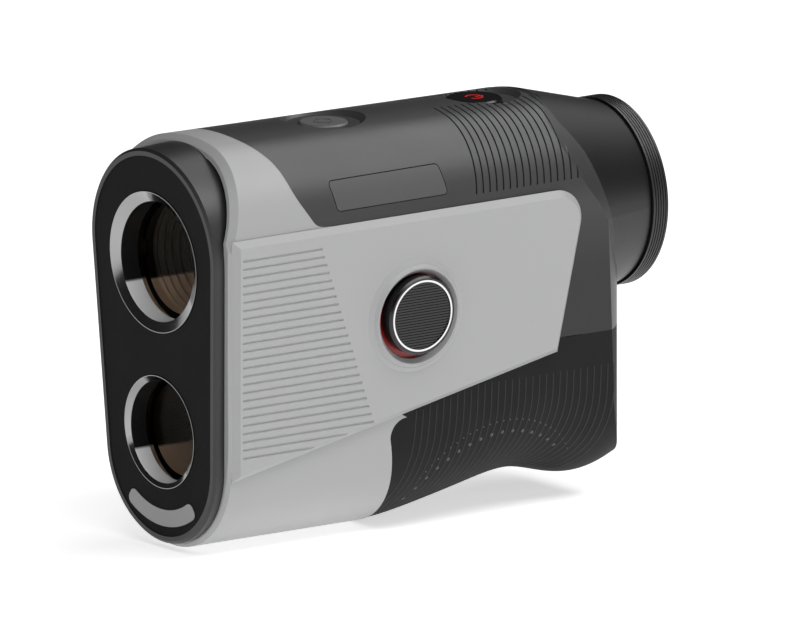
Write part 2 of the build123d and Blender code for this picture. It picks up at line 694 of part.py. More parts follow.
with BuildPart(mode=Mode.PRIVATE) as panel_plate:
    with BuildSketch(SIDE_PLANE) as outline:
        with BuildLine():
            Polyline(*[(y, z / COS_TAPER) for y, z in panel_outline], close=True)
        make_face()
        rear_corners = outline.vertices().sort_by(Axis.X)[-2:].sort_by(Axis.Y)
        fillet(rear_corners[1], PANEL_TOP_CORNER)
        fillet(rear_corners[0], PANEL_LOW_CORNER)
    extrude(amount=PANEL_PROUD, taper=bevel_angle)
    with BuildSketch(SIDE_PLANE.offset(PANEL_PROUD)):
        for i in range(GROOVE_COUNT):
            start, stop, z = groove_ends(i)
            with Locations(((start + stop) / 2, z / COS_TAPER)):
                Rectangle(stop - start, GROOVE_WIDTH)
    extrude(amount=-GROOVE_DEPTH, taper=40, mode=Mode.SUBTRACT)

with BuildPart() as side_panel_left:
    add(mirror(panel_plate.part, about=Plane.YZ))
save(side_panel_left, "side_panel_left")

with BuildPart() as side_panel_right:
    add(panel_plate.part)
    with BuildSketch(Plane(origin=knob_seat.origin, x_dir=knob_seat.x_dir, z_dir=-knob_seat.y_dir)):
        with BuildLine():
            top = PANEL_PROUD + COLLAR_PROUD
            Polyline((COLLAR_HOLE, PANEL_PROUD / 2), (COLLAR_BASE, PANEL_PROUD / 2), (COLLAR_BASE, PANEL_PROUD),
                     (COLLAR_BASE - 0.8, PANEL_PROUD + 0.45), (COLLAR_BASE - 1.0, PANEL_PROUD + 0.45),
                     (COLLAR_CREST + 0.15, top), (COLLAR_CREST - 0.15, top),
                     (COLLAR_HOLE, PANEL_PROUD + 0.2), close=True)
        make_face()
    revolve(axis=Axis(knob_seat.origin, knob_seat.z_dir))
    with BuildSketch(knob_seat):
        Circle(COLLAR_HOLE)
    extrude(amount=2 * PANEL_PROUD + COLLAR_PROUD, mode=Mode.SUBTRACT)
save(side_panel_right, "side_panel_right")

# ================================================================ slope switch
with BuildPart() as slope_flag:
    with BuildSketch(knob_seat):
        Circle(COLLAR_HOLE)
    extrude(amount=FLAG_THICK)
    add(stem_slot(), mode=Mode.SUBTRACT)
save(slope_flag, "slope_flag")

knob_plane = Plane(origin=knob_seat.origin + knob_seat.y_dir * (KNOB_TRAVEL / 2), x_dir=knob_seat.x_dir,
                   z_dir=knob_seat.z_dir)
knob_foot = FLAG_THICK + FREE
knob_top = PANEL_PROUD + KNOB_PROUD
knob_floor = knob_top - KNOB_DISH
rib_pitch = 2 * (KNOB_RING - KNOB_RING_WIDTH) / KNOB_RIBS
with BuildPart() as knob:
    with BuildSketch(knob_plane.offset(knob_foot)):
        Circle(KNOB_RADIUS)
    extrude(amount=knob_top - knob_foot)
    chamfer(knob.faces().sort_by(Axis.X)[-1].edges(), KNOB_RING_WIDTH)
    with BuildSketch(knob_plane.offset(knob_floor)):
        Circle(KNOB_RING)
    extrude(amount=KNOB_DISH, mode=Mode.SUBTRACT)
    with BuildSketch(knob_plane.offset(knob_floor)):
        with GridLocations(1, rib_pitch, 1, KNOB_RIBS):
            Rectangle(2 * KNOB_RING, KNOB_RIB)
        Circle(KNOB_RING - KNOB_RING_WIDTH - RUNNING, mode=Mode.INTERSECT)
    extrude(amount=KNOB_RIB)
    with BuildSketch(knob_plane.offset(-WALL - FREE)):
        Circle(STEM_RADIUS)
    extrude(amount=WALL + FREE + knob_foot)
save(knob, "knob")

with BuildPart() as knob_ring:
    with BuildSketch(knob_plane.offset(knob_floor)):
        Circle(KNOB_RING)
        Circle(KNOB_RING - KNOB_RING_WIDTH, mode=Mode.SUBTRACT)
    extrude(amount=KNOB_DISH)
save(knob_ring, "knob_ring")

slider_out = -WALL - FREE
with BuildPart() as switch_slider:
    with BuildSketch(knob_plane.offset(slider_out)):
        Rectangle(SLIDER_SIZE, SLIDER_SIZE)
    extrude(amount=-SLIDER_THICK)
save(switch_slider, "switch_slider")

switch_out = slider_out - SLIDER_THICK - FREE
with BuildPart() as slide_switch:
    with BuildSketch(knob_seat.offset(switch_out)):
        Rectangle(SWITCH_SIZE, SWITCH_SIZE)
    extrude(amount=-SWITCH_THICK)
save(slide_switch, "slide_switch")

with BuildPart() as switch_board:
    with BuildSketch(knob_seat.offset(switch_out - SWITCH_THICK)):
        with Locations((MID_BULKHEAD - knob_seat.origin.Y - SWITCH_SIZE, 0)):
            Rectangle(2 * SWITCH_SIZE, SWITCH_SIZE)
    extrude(amount=-BOARD_THICK)
save(switch_board, "switch_board")

# ================================================================ front
emitter_up = EMITTER_HEIGHT * math.hypot(1, FACE_LEAN)
badge_reach = 2 * BADGE_RADIUS
badge_spread = badge_reach * math.tan(math.radians(BADGE_HALF_ANGLE))
with BuildPart(mode=Mode.PRIVATE) as badge_zone:
    with BuildSketch(FACE_PLANE) as outline:
        with Locations((0, emitter_up)):
            Circle(BADGE_RADIUS + BADGE_WIDTH / 2)
            Circle(BADGE_RADIUS - BADGE_WIDTH / 2, mode=Mode.SUBTRACT)
        with BuildLine():
            Polyline((0, emitter_up), (badge_spread, emitter_up - badge_reach),
                     (-badge_spread, emitter_up - badge_reach), close=True)
        make_face(mode=Mode.INTERSECT)
        fillet(outline.vertices(), BADGE_CORNER)
    extrude(amount=-BADGE_THICK)

with BuildPart() as front_panel:
    with BuildSketch(FACE_PLANE.offset(-PANEL_SINK)):
        add(tapered(BEZEL_BULGE - BEZEL_LIP, BEZEL_CENTRE, BEZEL_LOW_CENTRE))
    extrude(amount=-PANEL_THICK)
    add(ring(0, RING_OUTER + SEAM, FACE - PANEL_THICK, OBJECTIVE_BACK), mode=Mode.SUBTRACT)
    add(ring(0, EMITTER_OUTER + SEAM, FACE - PANEL_THICK, EMITTER_BACK, EMITTER_HEIGHT), mode=Mode.SUBTRACT)
    add(badge_zone.part, mode=Mode.SUBTRACT)
save(front_panel, "front_panel")

with BuildPart() as front_badge:
    add(badge_zone.part)
save(front_badge, "front_badge")


def lens_ring(outer, bore, sleeve, mouth, back, seat, height):
    """A polished ring: a cone from the leaning face to the bore, and a sleeve that enters the barrel."""
    with BuildPart(mode=Mode.PRIVATE) as solid:
        add(ring(0, outer, FACE - PANEL_THICK, back, height))
        add(ring(0, sleeve, back, seat, height))
        split(bisect_by=FACE_PLANE, keep=Keep.BOTTOM)
        add(flare(outer - 0.1, bore, mouth, height), mode=Mode.SUBTRACT)
        add(ring(0, bore, mouth, seat, height), mode=Mode.SUBTRACT)
    return solid.part


with BuildPart() as objective_ring:
    add(lens_ring(RING_OUTER, OBJECTIVE_BORE, OBJECTIVE_SLEEVE, 0, OBJECTIVE_BACK, OBJECTIVE_LENS, 0))
save(objective_ring, "objective_ring")

with BuildPart() as emitter_ring:
    add(lens_ring(EMITTER_OUTER, EMITTER_BORE, EMITTER_SLEEVE, EMITTER_MOUTH, EMITTER_BACK, EMITTER_LENS, EMITTER_HEIGHT))
save(emitter_ring, "emitter_ring")

with BuildPart() as objective_lens:
    add(lens(OBJECTIVE_SLEEVE, OBJECTIVE_LENS, LENS_EDGE, 0, LENS_SAG))
save(objective_lens, "objective_lens")

with BuildPart() as emitter_lens:
    add(lens(EMITTER_SLEEVE, EMITTER_LENS, LENS_EDGE, 0, LENS_SAG, EMITTER_HEIGHT))
save(emitter_lens, "emitter_lens")

retainer_front = OBJECTIVE_LENS + LENS_EDGE
retainer_bore = OBJECTIVE_SLEEVE - LENS_LAND
retainer_back = retainer_front + RETAINER_THICK
barrel_bore = OBJECTIVE_SLEEVE + RUNNING
with BuildPart() as objective_retainer:
    add(ring(retainer_bore, OBJECTIVE_SLEEVE, retainer_front, retainer_back))
    add(block((-barrel_bore, barrel_bore), (retainer_front, retainer_front + RETAINER_THICK / 2), (-NOTCH, NOTCH)),
        mode=Mode.SUBTRACT)
save(objective_retainer, "objective_retainer")

barrel_outer = barrel_bore + BARREL_WALL
barrel_step = FACE + BARREL_STEP
barrel_end_bore = BARREL_END_RADIUS - BARREL_WALL
baffle_low = retainer_bore + BAFFLE_TOOTH
baffles = []
for i in range(BAFFLE_COUNT):
    baffles.append((baffle_low, retainer_back + i * BAFFLE_PITCH))
    baffles.append((retainer_bore, retainer_back + i * BAFFLE_PITCH + BAFFLE_PITCH / 2))
with BuildPart() as objective_barrel:
    add(turned([(barrel_bore, OBJECTIVE_BACK), (barrel_outer, OBJECTIVE_BACK), (barrel_outer, barrel_step),
                (BARREL_END_RADIUS, MID_BULKHEAD), (barrel_end_bore, MID_BULKHEAD)]
               + baffles[::-1] + [(barrel_bore, retainer_back)]))
save(objective_barrel, "objective_barrel")

emitter_bore = EMITTER_SLEEVE + RUNNING
emitter_barrel_outer = emitter_bore + BARREL_WALL
emitter_shoulder = EMITTER_LENS + LENS_EDGE
emitter_inner = EMITTER_SLEEVE - LENS_LAND
emitter_end = EMITTER_BACK + EMITTER_BARREL_LENGTH
with BuildPart() as emitter_barrel:
    add(turned([(emitter_bore, EMITTER_BACK), (emitter_barrel_outer, EMITTER_BACK), (emitter_barrel_outer, emitter_end),
                (emitter_inner, emitter_end), (emitter_inner, emitter_shoulder),
                (emitter_bore, emitter_shoulder)], EMITTER_HEIGHT))
save(emitter_barrel, "emitter_barrel")

laser_front = emitter_end - LASER_CAN_LENGTH
with BuildPart() as laser_module:
    add(ring(0, emitter_inner, laser_front, emitter_end, EMITTER_HEIGHT))
    add(ring(0, LASER_CAN, laser_front - LASER_CAN_LENGTH, laser_front, EMITTER_HEIGHT))
save(laser_module, "laser_module")

with BuildPart() as emitter_board:
    add(block((-emitter_inner, emitter_inner), (emitter_end, emitter_end + BOARD_THICK),
              (EMITTER_HEIGHT - emitter_inner, EMITTER_HEIGHT + emitter_inner)))
save(emitter_board, "emitter_board")

# ================================================================ bulkheads and boards
with BuildPart() as front_bulkhead:
    with BuildSketch(across(FRONT_WALL)):
        add(case_section(FRONT_WALL, WALL + SEAM, -BELLY_DEPTH))
    extrude(amount=-BULKHEAD_THICK)
    add(ring(0, barrel_outer + SEAM, FACE, barrel_step), mode=Mode.SUBTRACT)
    add(ring(0, emitter_barrel_outer + SEAM, FACE, barrel_step, EMITTER_HEIGHT), mode=Mode.SUBTRACT)
save(front_bulkhead, "front_bulkhead")

with BuildPart() as mid_bulkhead:
    with BuildSketch(across(MID_BULKHEAD)):
        add(case_section(MID_BULKHEAD, WALL + SEAM, BELLY_RISES[2][1] - BELLY_DEPTH))
    extrude(amount=-BULKHEAD_THICK)
    add(block((-FAR, FAR), (MID_BULKHEAD, CAGE_FRONT), (BUTTON_BOARD_HEIGHT, FAR)), mode=Mode.SUBTRACT)
    add(ring(0, barrel_end_bore, MID_BULKHEAD, CAGE_FRONT), mode=Mode.SUBTRACT)
    for x in (-CAGE_SCREW_X, CAGE_SCREW_X):
        for z in (-CAGE_SCREW_Z, CAGE_SCREW_Z):
            with Locations((x, CAGE_FRONT, z)):
                Cylinder(SCREW_RADIUS, 2 * SCREW_BITE, rotation=(90, 0, 0), mode=Mode.SUBTRACT)
save(mid_bulkhead, "mid_bulkhead")

with BuildPart() as main_board:
    add(block((-MAIN_BOARD_X - BOARD_THICK, -MAIN_BOARD_X), (FRONT_WALL + BULKHEAD_THICK, MID_BULKHEAD),
              (MAIN_BOARD_LOW, MAIN_BOARD_HIGH)))
save(main_board, "main_board")

board_middle = (FRONT_WALL + BULKHEAD_THICK + MID_BULKHEAD) / 2
with BuildPart() as main_chips:
    for z in (MAIN_BOARD_HIGH - CHIP_SIZE, MAIN_BOARD_LOW / 2, MAIN_BOARD_LOW + CHIP_SIZE):
        add(block((-MAIN_BOARD_X, -MAIN_BOARD_X + CHIP_THICK), (board_middle, board_middle + CHIP_SIZE),
                  (z - CHIP_SIZE / 2, z + CHIP_SIZE / 2)))
save(main_chips, "main_chips")

with BuildPart() as button_board:
    add(block((-BUTTON_BOARD_HALF, BUTTON_BOARD_HALF), (board_front, board_rear), (BUTTON_BOARD_HEIGHT, board_top)))
    for x, y in board_screw_places:
        add(post(x, y, BUTTON_BOARD_HEIGHT, board_top, SCREW_RADIUS), mode=Mode.SUBTRACT)
save(button_board, "button_board")

with BuildPart() as board_screws:
    for x, y in board_screw_places:
        add(screw(Plane(origin=(x, y, BUTTON_BOARD_HEIGHT), x_dir=(1, 0, 0), z_dir=(0, 0, -1)), BOARD_THICK + SCREW_BITE))
save(board_screws, "board_screws")

tact_top = board_top + TACT_HEIGHT
with BuildPart() as tact_switches:
    for y in (dish_y, power_y):
        add(block((-TACT_SIZE / 2, TACT_SIZE / 2), (y - TACT_SIZE / 2, y + TACT_SIZE / 2), (board_top, tact_top)))
save(tact_switches, "tact_switches")


def button(y, radius, sink):
    """A round button with a flange under the crown and a stem over its switch."""
    top = crown(y) - sink
    flange_radius = radius + FLANGE_WIDTH
    flange_top = crown(y) - WALL - FREE - flange_radius ** 2 / (2 * (CROWN_RADIUS - WALL)) - CROWN_FALL * flange_radius
    with BuildPart(mode=Mode.PRIVATE) as solid:
        add(post(0, y, flange_top - FLANGE_THICK, top, radius))
        chamfer(solid.faces().sort_by(Axis.Z)[-1].edges(), FREE)
        add(post(0, y, flange_top - FLANGE_THICK, flange_top, flange_radius))
        add(post(0, y, tact_top + BUTTON_TRAVEL + SEAM, flange_top, BUTTON_STEM))
    return solid.part


with BuildPart() as mode_button:
    add(button(dish_y, MODE_RADIUS, MODE_SINK))
save(mode_button, "mode_button")

with BuildPart() as power_button:
    add(button(power_y, POWER_RADIUS, POWER_SINK))
save(power_button, "power_button")

# ================================================================ prisms and receiver
with BuildPart() as prism_cage:
    add(block((-CAGE_HALF, CAGE_HALF), (CAGE_FRONT, PRISM_FRONT), (-PRISM_HALF - CAGE_PLATE, PRISM_HALF + CAGE_PLATE)))
    add(block((-PRISM_HALF - CAGE_WALL, PRISM_HALF + CAGE_WALL), (PRISM_FRONT, PRISM_BACK + CAGE_PLATE),
              (-PRISM_HALF - CAGE_PLATE, PRISM_HALF + CAGE_PLATE)))
    add(block((-PRISM_HALF, PRISM_HALF), (PRISM_FRONT, PRISM_BACK), (-PRISM_HALF, FAR)), mode=Mode.SUBTRACT)
    add(ring(0, CAGE_HOLE, CAGE_FRONT, PRISM_BACK + CAGE_PLATE), mode=Mode.SUBTRACT)
    add(post(0, (PRISM_FRONT + PRISM_BACK) / 2, -FAR, 0, SENSOR_RADIUS), mode=Mode.SUBTRACT)
    for x in (-CAGE_SCREW_X, CAGE_SCREW_X):
        for z in (-CAGE_SCREW_Z, CAGE_SCREW_Z):
            with Locations((x, CAGE_FRONT, z)):
                Cylinder(SCREW_RADIUS, 2 * SCREW_BITE, rotation=(90, 0, 0), mode=Mode.SUBTRACT)
save(prism_cage, "prism_cage")

with BuildPart() as cage_screws:
    for x in (-CAGE_SCREW_X, CAGE_SCREW_X):
        for z in (-CAGE_SCREW_Z, CAGE_SCREW_Z):
            add(screw(Plane(origin=(x, PRISM_FRONT, z), x_dir=(1, 0, 0), z_dir=(0, 1, 0)), CAGE_PLATE + BULKHEAD_THICK - FREE))
save(cage_screws, "cage_screws")

with BuildPart() as front_prism:
    add(prism([(PRISM_FRONT, -PRISM_HALF), (PRISM_FRONT, PRISM_HALF), (PRISM_FRONT + 2 * PRISM_HALF, -PRISM_HALF)],
              PRISM_HALF))
save(front_prism, "front_prism")

with BuildPart() as rear_prism:
    add(prism([(PRISM_BACK, -PRISM_HALF), (PRISM_BACK, PRISM_HALF), (PRISM_BACK - 2 * PRISM_HALF, PRISM_HALF)],
              PRISM_HALF))
save(rear_prism, "rear_prism")

board_low = -PRISM_HALF - CAGE_PLATE
with BuildPart() as receiver_board:
    add(block((-PRISM_HALF, PRISM_HALF), (PRISM_FRONT, PRISM_BACK), (board_low - BOARD_THICK, board_low)))
save(receiver_board, "receiver_board")

with BuildPart() as receiver_sensor:
    add(post(0, (PRISM_FRONT + PRISM_BACK) / 2, board_low - BOARD_THICK - SENSOR_HEIGHT, board_low - BOARD_THICK,
             SENSOR_RADIUS))
save(receiver_sensor, "receiver_sensor")

# ================================================================ eyepiece
tube_start = CONE_END - TUBE_LENGTH
with BuildPart() as eyepiece_tube:
    add(ring(tube_bore, tube_outer, tube_start, CONE_END))
save(eyepiece_tube, "eyepiece_tube")

with BuildPart() as reticle:
    add(ring(0, tube_bore, tube_start, tube_start + RETICLE_THICK))
save(reticle, "reticle")

ring_front = CONE_END + FREE
cup_front = RIM - EYECUP_WIDTH
lens_front = cup_front - EYE_LENS_THICK
cup_outer = DIOPTRE_RADIUS - EYECUP_WALL
sleeve_bore = EYE_LENS_RADIUS - LENS_LAND
rib_step = (RIM - ring_front) / (DIOPTRE_RIBS + 1)
with BuildPart() as dioptre_ring:
    add(turned([(sleeve_bore, ring_front - SLEEVE_LENGTH), (SLEEVE_RADIUS, ring_front - SLEEVE_LENGTH),
                (SLEEVE_RADIUS, ring_front), (DIOPTRE_RADIUS, ring_front), (DIOPTRE_RADIUS, RIM), (cup_outer, RIM),
                (cup_outer, cup_front), (EYE_LENS_RADIUS, cup_front), (EYE_LENS_RADIUS, lens_front),
                (sleeve_bore, lens_front)]))
    for i in range(DIOPTRE_RIBS):
        y = ring_front + (i + 1) * rib_step
        add(ring(DIOPTRE_RADIUS - DIOPTRE_RIB_DEPTH, DIOPTRE_RADIUS + 1, y - rib_step / 5, y + rib_step / 5),
            mode=Mode.SUBTRACT)
save(dioptre_ring, "dioptre_ring")

with BuildPart() as eyecup:
    add(turned([(EYE_LENS_RADIUS, cup_front), (cup_outer, cup_front), (cup_outer, RIM),
                (cup_outer - EYECUP_WALL, RIM), (EYE_LENS_RADIUS + EYECUP_WALL, cup_front + EYECUP_WALL / 2),
                (EYE_LENS_RADIUS, cup_front + EYECUP_WALL / 2)]))
save(eyecup, "eyecup")

with BuildPart() as eye_lens:
    add(lens(EYE_LENS_RADIUS, lens_front, EYE_LENS_THICK, EYE_LENS_SAG, EYE_LENS_SAG))
save(eye_lens, "eye_lens")

# ================================================================ battery
with BuildPart() as battery_tube:
    add(ring(battery_bore, battery_outer, tube_front + BATTERY_WALL, cap_floor, BATTERY_HEIGHT))
    add(ring(0, battery_outer, tube_front, tube_front + BATTERY_WALL, BATTERY_HEIGHT))
save(battery_tube, "battery_tube")

with BuildPart() as battery_contact:
    add(ring(0, BATTERY_TIP + BATTERY_WALL, tube_front + BATTERY_WALL, battery_front, BATTERY_HEIGHT))
save(battery_contact, "battery_contact")

with BuildPart() as battery:
    add(ring(0, BATTERY_RADIUS, battery_front, battery_back, BATTERY_HEIGHT))
save(battery, "battery")

with BuildPart() as battery_cap:
    add(ring(0, CAP_RADIUS, cap_face - CAP_THICK, cap_face, BATTERY_HEIGHT))
    add(ring(0, CAP_PLUG, cap_floor - CAP_PLUG_LENGTH, cap_face - CAP_THICK, BATTERY_HEIGHT))
    add(ring(CAP_PLUG - SEAL_WIDTH / 2, CAP_PLUG, seal_front, seal_front + SEAL_WIDTH, BATTERY_HEIGHT), mode=Mode.SUBTRACT)
    add(block((-CAP_PLUG, CAP_PLUG), (cap_face - CAP_THICK / 2, RIM),
              (BATTERY_HEIGHT - COIN_SLOT / 2, BATTERY_HEIGHT + COIN_SLOT / 2)), mode=Mode.SUBTRACT)
save(battery_cap, "battery_cap")

with BuildPart() as cap_seal:
    add(ring(CAP_PLUG - SEAL_WIDTH / 2, CAP_PLUG + FREE, seal_front, seal_front + SEAL_WIDTH, BATTERY_HEIGHT))
save(cap_seal, "cap_seal")
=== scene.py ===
# %% [markdown]
# # A handheld laser rangefinder
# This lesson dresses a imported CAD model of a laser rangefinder. The CAD already
# holds every hard piece in its right place, so the work here is what the eye
# reads next: paint, rubber, glass and the fine moulded detail.

# %% Load the frame
import math

import bmesh
import bpy
from mathutils import Matrix, Vector
from mathutils.bvhtree import BVHTree


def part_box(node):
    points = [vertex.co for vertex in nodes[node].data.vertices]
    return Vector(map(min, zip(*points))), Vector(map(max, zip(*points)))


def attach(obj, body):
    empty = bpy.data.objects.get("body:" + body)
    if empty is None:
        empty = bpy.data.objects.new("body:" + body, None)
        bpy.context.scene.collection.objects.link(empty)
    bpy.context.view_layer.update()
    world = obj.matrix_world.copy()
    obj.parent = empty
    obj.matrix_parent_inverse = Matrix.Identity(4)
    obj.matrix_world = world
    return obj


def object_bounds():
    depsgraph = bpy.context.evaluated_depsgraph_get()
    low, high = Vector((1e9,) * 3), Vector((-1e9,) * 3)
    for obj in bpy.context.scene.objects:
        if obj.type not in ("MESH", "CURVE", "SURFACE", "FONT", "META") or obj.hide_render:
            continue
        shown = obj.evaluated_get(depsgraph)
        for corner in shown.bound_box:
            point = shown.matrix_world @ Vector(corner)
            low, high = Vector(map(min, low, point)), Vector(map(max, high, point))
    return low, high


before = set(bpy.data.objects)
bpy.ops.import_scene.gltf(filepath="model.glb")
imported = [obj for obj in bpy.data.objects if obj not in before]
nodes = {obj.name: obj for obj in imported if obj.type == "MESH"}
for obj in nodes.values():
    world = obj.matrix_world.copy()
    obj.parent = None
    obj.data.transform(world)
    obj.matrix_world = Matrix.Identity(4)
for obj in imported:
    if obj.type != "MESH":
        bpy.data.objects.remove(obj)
cad_low, cad_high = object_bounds()
MM = 0.001
print("nodes", len(nodes), "box in mm", [round(v / MM, 1) for v in cad_high - cad_low])

# %% [markdown]
# ## Floor and light
# A product like this is lit in a white tent. The floor glows softly, so it stays
# white under the object and mirrors as a bright band in polished rings, while the
# room above stays dark. Wide lamps then draw the long highlights on the paint.

# %% Colours and nodes
def shade(code):
    """A colour written as sRGB hex, in the linear values that a shader wants."""
    channels = [int(code[i:i + 2], 16) / 255 for i in (0, 2, 4)]
    return tuple(c / 12.92 if c <= 0.04045 else ((c + 0.055) / 1.055) ** 2.4 for c in channels) + (1,)


def add(tree, kind, links=None, **settings):
    """Adds a node. Settings are its own; links maps an input to a value or to another node's output."""
    made = tree.nodes.new(kind)
    for name, value in settings.items():
        setattr(made, name, value)
    for name, value in (links or {}).items():
        socket = made.inputs[name]
        if isinstance(value, bpy.types.NodeSocket):
            tree.links.new(value, socket)
        else:
            socket.default_value = value
    return made


# %% Floor and room
scene = bpy.context.scene
scene.view_settings.view_transform = "Standard"
FLOOR_HALF = 6.0
floor_mesh = bmesh.new()
bmesh.ops.create_grid(floor_mesh, x_segments=1, y_segments=1, size=FLOOR_HALF)
floor_data = bpy.data.meshes.new("floor")
floor_mesh.to_mesh(floor_data)
floor_mesh.free()
floor_data.transform(Matrix.Translation((0, 0, cad_low.z - 0.2 * MM)))
floor = bpy.data.objects.new("floor", floor_data)
scene.collection.objects.link(floor)

paper = bpy.data.materials.new("white_paper_sweep")
paper.use_nodes = True
paper_shader = paper.node_tree.nodes["Principled BSDF"]
paper_shader.inputs["Base Color"].default_value = shade("F4F4F4")
paper_shader.inputs["Roughness"].default_value = 0.9
paper_shader.inputs["Specular IOR Level"].default_value = 0.1
paper_shader.inputs["Emission Color"].default_value = (1, 1, 1, 1)
paper_shader.inputs["Emission Strength"].default_value = 0.6
floor_data.materials.append(paper)

room = bpy.data.worlds.new("dark_room")
room.use_nodes = True
room.node_tree.nodes["Background"].inputs["Color"].default_value = shade("FFFFFF")
room.node_tree.nodes["Background"].inputs["Strength"].default_value = 0.03
scene.world = room


def lamp(name, azimuth, elevation, distance, size, power):
    """A square soft lamp that looks at the middle of the object."""
    middle = (cad_low + cad_high) / 2
    a, e = math.radians(azimuth), math.radians(elevation)
    towards = Vector((math.sin(a) * math.cos(e), -math.cos(a) * math.cos(e), math.sin(e)))
    light = bpy.data.lights.new(name, "AREA")
    light.shape = "RECTANGLE"
    light.size, light.size_y = size
    light.energy = power
    lamp_object = bpy.data.objects.new(name, light)
    lamp_object.location = middle + towards * distance
    lamp_object.rotation_mode = "QUATERNION"
    lamp_object.rotation_quaternion = towards.to_track_quat("Z", "Y")
    scene.collection.objects.link(lamp_object)
    return lamp_object


# name, azimuth, elevation, distance in metres, width and height in metres, power in watts
LAMPS = [("key_softbox", 80, 62, 0.9, (1.1, 0.35), 5.0),
         ("front_softbox", 20, 12, 0.9, (0.5, 0.5), 0.8),
         ("side_softbox", 110, 18, 1.0, (0.6, 0.6), 1.1),
         ("rear_strip", 172, 50, 0.9, (1.2, 0.3), 4.5)]
for lamp_row in LAMPS:
    lamp(*lamp_row)

# %% [markdown]
# ## Camera
# The object is drawn without perspective, from its right-hand front and a little
# above, so an orthographic camera is used. Its scale is the width of the picture.

# %% Camera
CAMERA_AZIMUTH, CAMERA_ELEVATION = math.radians(53.2), math.radians(12.4)
PICTURE_WIDTH = 145.5 * MM
AIM = Vector((28.36, 33.87, -8.29)) * MM
back = Vector((math.sin(CAMERA_AZIMUTH) * math.cos(CAMERA_ELEVATION),
               -math.cos(CAMERA_AZIMUTH) * math.cos(CAMERA_ELEVATION), math.sin(CAMERA_ELEVATION)))
camera_data = bpy.data.cameras.new("camera")
camera_data.type = "ORTHO"
camera_data.ortho_scale = PICTURE_WIDTH
camera_data.clip_start, camera_data.clip_end = 0.01, 50
camera = bpy.data.objects.new("camera", camera_data)
camera.location = AIM + back * 0.5
camera.rotation_mode = "QUATERNION"
camera.rotation_quaternion = back.to_track_quat("Z", "Y")
scene.collection.objects.link(camera)
scene.camera = camera
print("camera", [round(v, 3) for v in camera.location])

# %% [markdown]
# ## Finishes
# Every finish starts from the real material: what it is, how its surface was made
# and how coarse that is in millimetres. Grain is a noise bump, so it works on any
# shape without unwrapping.

# %% Finish helper
PATCH_SIZE = 9        # how far one patch of uneven colour reaches, in mm


def finish(name, colour, roughness, metallic=0.0, grain_mm=0.0, grain_depth=0.0, mottle=0.05, **sockets):
    """A Principled material with a little unevenness in colour and gloss, and a fine grain."""
    material = bpy.data.materials.new(name)
    material.use_nodes = True
    tree = material.node_tree
    shader = tree.nodes["Principled BSDF"]
    shader.inputs["Metallic"].default_value = metallic
    for socket, value in sockets.items():
        shader.inputs[socket.replace("_", " ")].default_value = value
    place = add(tree, "ShaderNodeTexCoord")
    patch = add(tree, "ShaderNodeTexNoise", {"Vector": place.outputs["Object"], "Scale": 1 / (PATCH_SIZE * MM),
                                             "Detail": 3.0})
    dark = tuple(c * (1 - mottle) for c in shade(colour)[:3]) + (1,)
    light = tuple(min(1, c * (1 + mottle)) for c in shade(colour)[:3]) + (1,)
    tint = add(tree, "ShaderNodeMix", {"Factor": patch.outputs["Fac"]}, data_type="RGBA")
    tint.inputs["A"].default_value = dark
    tint.inputs["B"].default_value = light
    tree.links.new(tint.outputs["Result"], shader.inputs["Base Color"])
    gloss = add(tree, "ShaderNodeMapRange", {"Value": patch.outputs["Fac"], "To Min": roughness * 0.92,
                                             "To Max": min(1, roughness * 1.08)})
    tree.links.new(gloss.outputs["Result"], shader.inputs["Roughness"])
    if grain_mm:
        grain = add(tree, "ShaderNodeTexNoise",
                    {"Vector": place.outputs["Object"], "Scale": 1 / (grain_mm * MM), "Detail": 2.0})
        bump = add(tree, "ShaderNodeBump", {"Height": grain.outputs["Fac"], "Distance": grain_depth * MM,
                                            "Strength": 1.0})
        tree.links.new(bump.outputs["Normal"], shader.inputs["Normal"])
    return material


def dress(material, *names):
    """Puts one material on whole CAD nodes."""
    for name in names:
        data = nodes[name].data
        data.materials.clear()
        data.materials.append(material)
        for face in data.polygons:
            face.material_index = 0
    print(material.name, "on", ", ".join(names))


# %% Finishes of the case
dress(finish("satin_silver_paint_on_abs", "A3A3A4", 0.45, grain_mm=0.25, grain_depth=0.003, mottle=0.01),
      "front_housing", "side_panel_left", "side_panel_right")
dress(finish("moulded_grey_polycarbonate", "363637", 0.42, grain_mm=0.35, grain_depth=0.02, mottle=0.03),
      "upper_case")
rubber = finish("soft_black_tpe_overmoulding", "080809", 0.7, grain_mm=0.4, grain_depth=0.03, mottle=0.05,
                Specular_IOR_Level=0.3)
dress(rubber, "lower_grip")
dress(finish("satin_grey_paint_on_bezel", "252525", 0.38, grain_mm=0.2, grain_depth=0.003, mottle=0.02),
      "front_bezel")
dress(finish("spark_eroded_black_abs", "111111", 0.75, grain_mm=0.3, grain_depth=0.05, mottle=0.1,
             Specular_IOR_Level=0.15), "front_panel")
dress(finish("brushed_aluminium_badge", "8C8C8C", 0.4, 0.5, mottle=0.02), "front_badge")
dress(finish("printed_label_film", "525252", 0.5, mottle=0.02, Specular_IOR_Level=0.3), "label_plate")
dress(finish("gloss_black_abs", "050505", 0.25, mottle=0.05), "knob", "power_button", "switch_slider")
dress(finish("polished_steel_inlay", "D8D8D8", 0.12, 1.0, mottle=0.02), "knob_ring")
dress(finish("red_abs", "A00808", 0.35, mottle=0.03), "slope_flag")
dress(finish("satin_grey_abs_button", "606061", 0.4, mottle=0.02), "mode_button")
dress(finish("moulded_grey_ring", "1C1C1C", 0.4, grain_mm=0.2, grain_depth=0.005, mottle=0.03),
      "dioptre_ring")
dress(finish("moulded_eyecup_rubber", "101010", 0.75, grain_mm=0.3, grain_depth=0.01), "eyecup")

